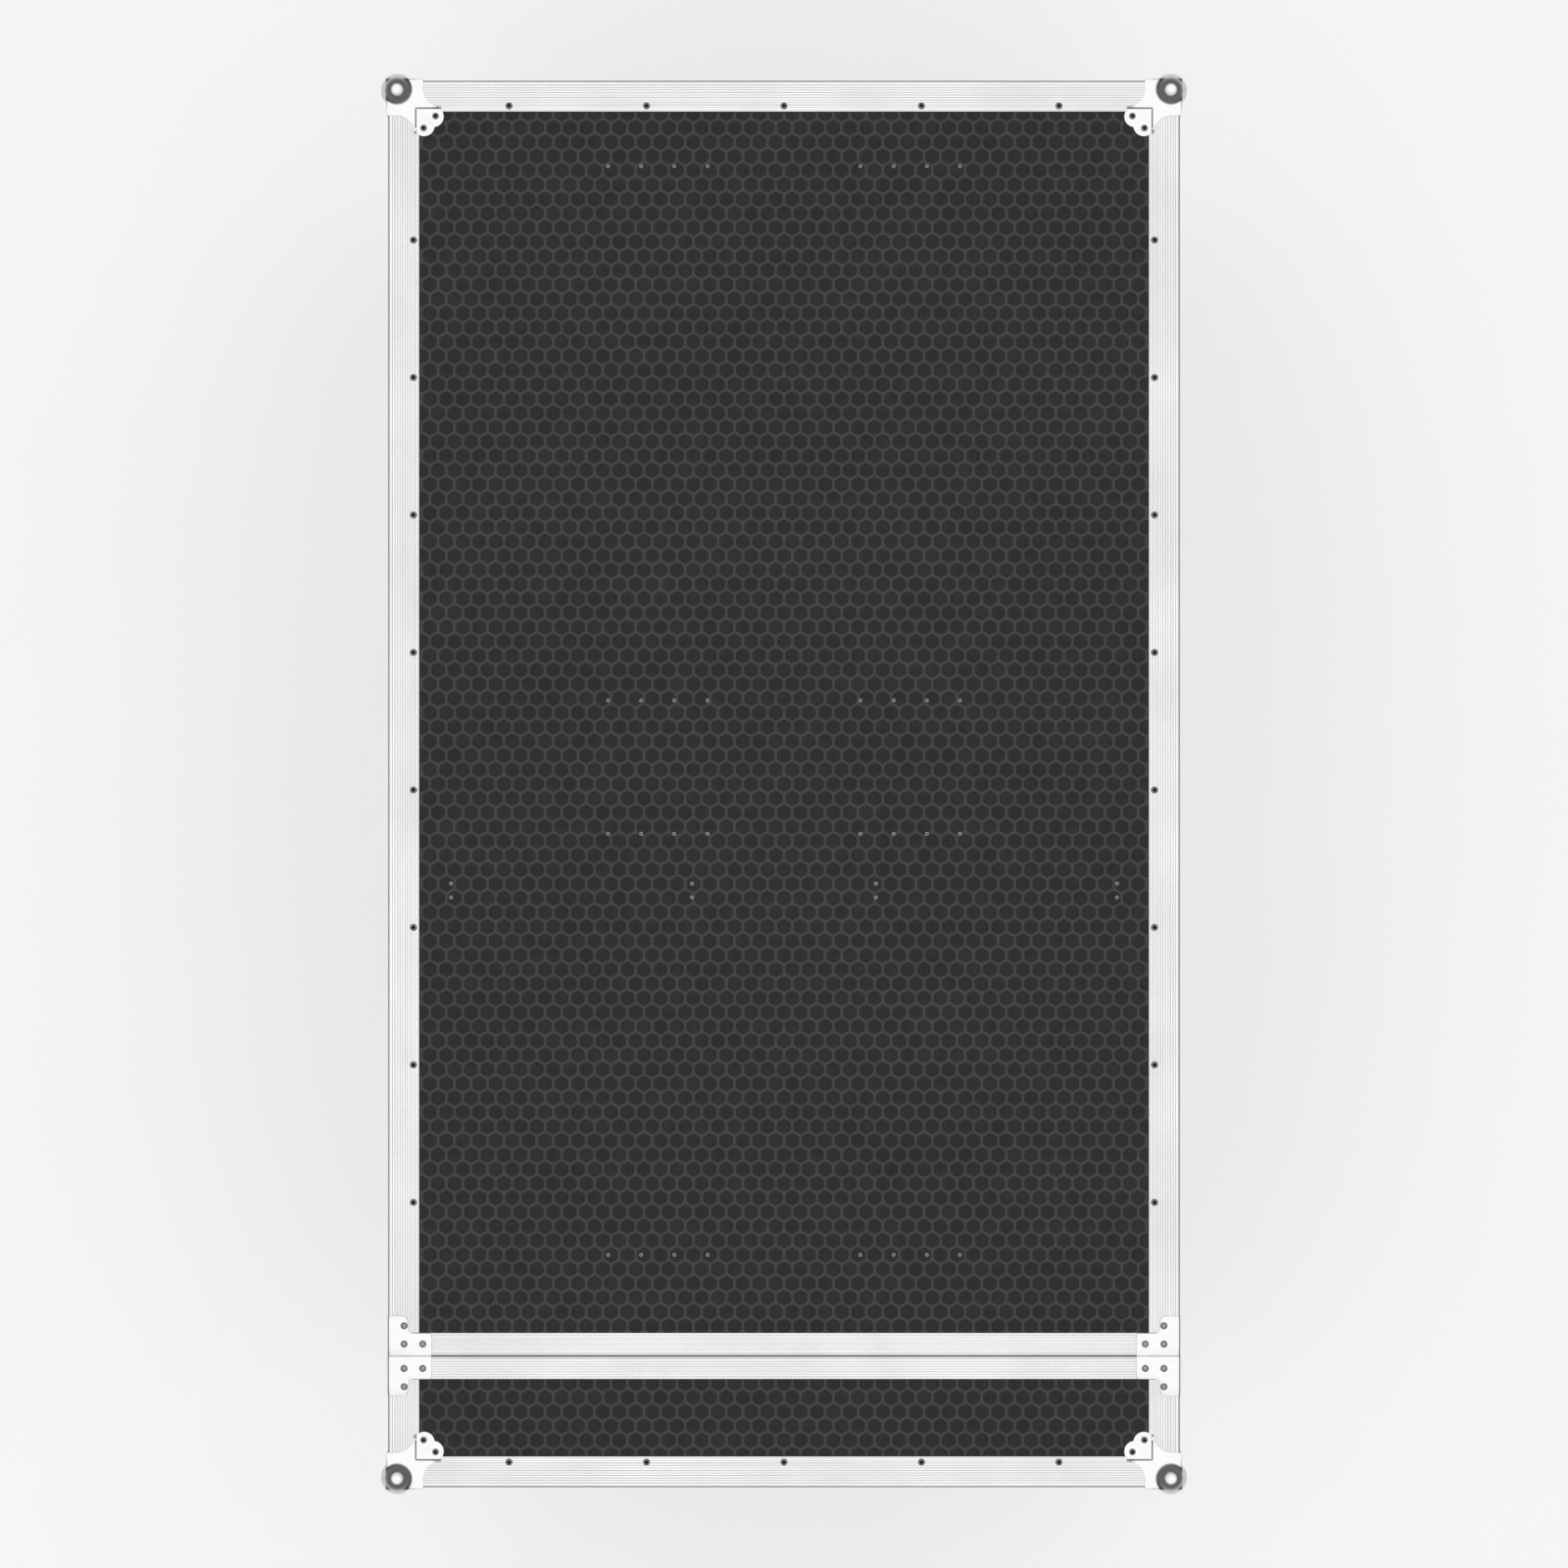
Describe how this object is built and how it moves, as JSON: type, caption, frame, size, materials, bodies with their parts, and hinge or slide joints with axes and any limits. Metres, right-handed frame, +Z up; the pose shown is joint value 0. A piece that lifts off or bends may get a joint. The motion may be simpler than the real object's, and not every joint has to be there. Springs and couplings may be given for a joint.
{
  "type": "flight case",
  "caption": "Long wheeled flight case for line array loudspeakers: boards in aluminium edges, ball corners, lift-off end lid, turn latches, sprung handles, swivel castors.",
  "frame": {"origin": "on the floor under the middle of the closed case", "axes": "+X right, +Y to the closed back end, -Y to the lid, +Z up"},
  "size_m": [0.775, 1.365, 0.6984],
  "materials": {
    "film_faced_board": "phenolic film with hexagonal relief, semi-matt",
    "edge_profile": "anodised extrusion with fine lengthwise grooves",
    "pressed_steel": "bright zinc-chrome plated pressing",
    "zinc_plate": "zinc plated, lightly brushed",
    "handle_grip": "matt moulded grip",
    "birch_plywood": "lacquered birch plywood",
    "castor_tyre": "blue elastic tyre on a grey core"
  },
  "bodies": {
    "case": {"top_board": "film_faced_board", "floor_board": "film_faced_board", "back_board": "film_faced_board", "left_board": "film_faced_board", "right_board": "film_faced_board", "stop_board": "birch_plywood", "edge_bottom_left": "edge_profile", "edge_top_left": "edge_profile", "edge_bottom_right": "edge_profile", "edge_top_right": "edge_profile", "back_edge_frame": "edge_profile", "body_rim": "edge_profile", "castor_board": "birch_plywood", "ball_corner_back_bottom_left": "pressed_steel", "ball_corner_back_bottom_right": "pressed_steel", "ball_corner_back_top_left": "pressed_steel", "ball_corner_back_top_right": "pressed_steel", "latch_dish_left_lower": "zinc_plate", "latch_dish_left_upper": "zinc_plate", "handle_dish_left_front": "zinc_plate", "handle_dish_left_back": "zinc_plate", "latch_dish_right_lower": "zinc_plate", "latch_dish_right_upper": "zinc_plate", "handle_dish_right_front": "zinc_plate", "handle_dish_right_back": "zinc_plate"},
    "lid": {"lid_front_board": "film_faced_board", "lid_top_board": "film_faced_board", "lid_floor_board": "film_faced_board", "lid_left_board": "film_faced_board", "lid_right_board": "film_faced_board", "lid_edge_frame": "edge_profile", "lid_rim": "edge_profile", "ball_corner_lid_bottom_left": "pressed_steel", "ball_corner_lid_bottom_right": "pressed_steel", "ball_corner_lid_top_left": "pressed_steel", "ball_corner_lid_top_right": "pressed_steel", "keeper_left_lower": "zinc_plate", "keeper_left_upper": "zinc_plate", "keeper_right_lower": "zinc_plate", "keeper_right_upper": "zinc_plate"},
    "latch_wing_left_lower": {"latch_wing_left_lower": "zinc_plate"},
    "latch_hook_left_lower": {"latch_hook_left_lower": "zinc_plate"},
    "latch_wing_left_upper": {"latch_wing_left_upper": "zinc_plate"},
    "latch_hook_left_upper": {"latch_hook_left_upper": "zinc_plate"},
    "handle_bail_left_front": {"handle_bail_left_front": "handle_grip"},
    "handle_bail_left_back": {"handle_bail_left_back": "handle_grip"},
    "latch_wing_right_lower": {"latch_wing_right_lower": "zinc_plate"},
    "latch_hook_right_lower": {"latch_hook_right_lower": "zinc_plate"},
    "latch_wing_right_upper": {"latch_wing_right_upper": "zinc_plate"},
    "latch_hook_right_upper": {"latch_hook_right_upper": "zinc_plate"},
    "handle_bail_right_front": {"handle_bail_right_front": "handle_grip"},
    "handle_bail_right_back": {"handle_bail_right_back": "handle_grip"},
    "castor_fork_front_left": {"castor_fork_front_left": "zinc_plate"},
    "castor_wheel_front_left": {"castor_wheel_front_left": "castor_tyre"},
    "castor_fork_front_right": {"castor_fork_front_right": "zinc_plate"},
    "castor_wheel_front_right": {"castor_wheel_front_right": "castor_tyre"},
    "castor_fork_back_left": {"castor_fork_back_left": "zinc_plate"},
    "castor_wheel_back_left": {"castor_wheel_back_left": "castor_tyre"},
    "castor_fork_back_right": {"castor_fork_back_right": "zinc_plate"},
    "castor_wheel_back_right": {"castor_wheel_back_right": "castor_tyre"}
  },
  "joints": [
    {"name": "lid_slide", "type": "slide", "parent": "case", "child": "lid", "axis": [0, -1, 0], "range_m": [0, 0.3]},
    {"name": "latch_turn_left_lower", "type": "hinge", "parent": "case", "child": "latch_wing_left_lower", "pos_m": [-0.376, -0.5107, 0.27137], "axis": [-1, 0, 0], "range_deg": [0, 180]},
    {"name": "hook_slide_left_lower", "type": "slide", "parent": "case", "child": "latch_hook_left_lower", "axis": [0, -1, 0], "range_m": [0, 0.009]},
    {"name": "latch_turn_left_upper", "type": "hinge", "parent": "case", "child": "latch_wing_left_upper", "pos_m": [-0.376, -0.5107, 0.55137], "axis": [-1, 0, 0], "range_deg": [0, 180]},
    {"name": "hook_slide_left_upper", "type": "slide", "parent": "case", "child": "latch_hook_left_upper", "axis": [0, -1, 0], "range_m": [0, 0.009]},
    {"name": "handle_lift_left_front", "type": "hinge", "parent": "case", "child": "handle_bail_left_front", "pos_m": [-0.3718, -0.23685, 0.44237], "axis": [0, 1, 0], "range_deg": [0, 90], "stiffness_Nm_per_rad": 0.2, "springref_deg": -20.05},
    {"name": "handle_lift_left_back", "type": "hinge", "parent": "case", "child": "handle_bail_left_back", "pos_m": [-0.3718, 0.36315, 0.44237], "axis": [0, 1, 0], "range_deg": [0, 90], "stiffness_Nm_per_rad": 0.2, "springref_deg": -20.05},
    {"name": "latch_turn_right_lower", "type": "hinge", "parent": "case", "child": "latch_wing_right_lower", "pos_m": [0.376, -0.5107, 0.27137], "axis": [1, 0, 0], "range_deg": [0, 180]},
    {"name": "hook_slide_right_lower", "type": "slide", "parent": "case", "child": "latch_hook_right_lower", "axis": [0, -1, 0], "range_m": [0, 0.009]},
    {"name": "latch_turn_right_upper", "type": "hinge", "parent": "case", "child": "latch_wing_right_upper", "pos_m": [0.376, -0.5107, 0.55137], "axis": [1, 0, 0], "range_deg": [0, 180]},
    {"name": "hook_slide_right_upper", "type": "slide", "parent": "case", "child": "latch_hook_right_upper", "axis": [0, -1, 0], "range_m": [0, 0.009]},
    {"name": "handle_lift_right_front", "type": "hinge", "parent": "case", "child": "handle_bail_right_front", "pos_m": [0.3718, -0.23685, 0.44237], "axis": [0, -1, 0], "range_deg": [0, 90], "stiffness_Nm_per_rad": 0.2, "springref_deg": -20.05},
    {"name": "handle_lift_right_back", "type": "hinge", "parent": "case", "child": "handle_bail_right_back", "pos_m": [0.3718, 0.36315, 0.44237], "axis": [0, -1, 0], "range_deg": [0, 90], "stiffness_Nm_per_rad": 0.2, "springref_deg": -20.05},
    {"name": "castor_swivel_front_left", "type": "hinge", "parent": "case", "child": "castor_fork_front_left", "pos_m": [-0.265, -0.455, 0.10457], "axis": [0, 0, 1], "continuous": true},
    {"name": "wheel_roll_front_left", "type": "hinge", "parent": "castor_fork_front_left", "child": "castor_wheel_front_left", "pos_m": [-0.265, -0.423, 0.04957], "axis": [1, 0, 0], "continuous": true},
    {"name": "castor_swivel_front_right", "type": "hinge", "parent": "case", "child": "castor_fork_front_right", "pos_m": [0.265, -0.455, 0.10457], "axis": [0, 0, 1], "continuous": true},
    {"name": "wheel_roll_front_right", "type": "hinge", "parent": "castor_fork_front_right", "child": "castor_wheel_front_right", "pos_m": [0.265, -0.423, 0.04957], "axis": [1, 0, 0], "continuous": true},
    {"name": "castor_swivel_back_left", "type": "hinge", "parent": "case", "child": "castor_fork_back_left", "pos_m": [-0.265, 0.565, 0.10457], "axis": [0, 0, 1], "continuous": true},
    {"name": "wheel_roll_back_left", "type": "hinge", "parent": "castor_fork_back_left", "child": "castor_wheel_back_left", "pos_m": [-0.265, 0.597, 0.04957], "axis": [1, 0, 0], "continuous": true},
    {"name": "castor_swivel_back_right", "type": "hinge", "parent": "case", "child": "castor_fork_back_right", "pos_m": [0.265, 0.565, 0.10457], "axis": [0, 0, 1], "continuous": true},
    {"name": "wheel_roll_back_right", "type": "hinge", "parent": "castor_fork_back_right", "child": "castor_wheel_back_right", "pos_m": [0.265, 0.597, 0.04957], "axis": [1, 0, 0], "continuous": true}
  ],
  "couplings": [
    {"joint": "hook_slide_left_lower", "follows": "latch_turn_left_lower", "m_per_rad": 0.002864},
    {"joint": "hook_slide_left_upper", "follows": "latch_turn_left_upper", "m_per_rad": 0.002864},
    {"joint": "hook_slide_right_lower", "follows": "latch_turn_right_lower", "m_per_rad": 0.002864},
    {"joint": "hook_slide_right_upper", "follows": "latch_turn_right_upper", "m_per_rad": 0.002864}
  ]
}
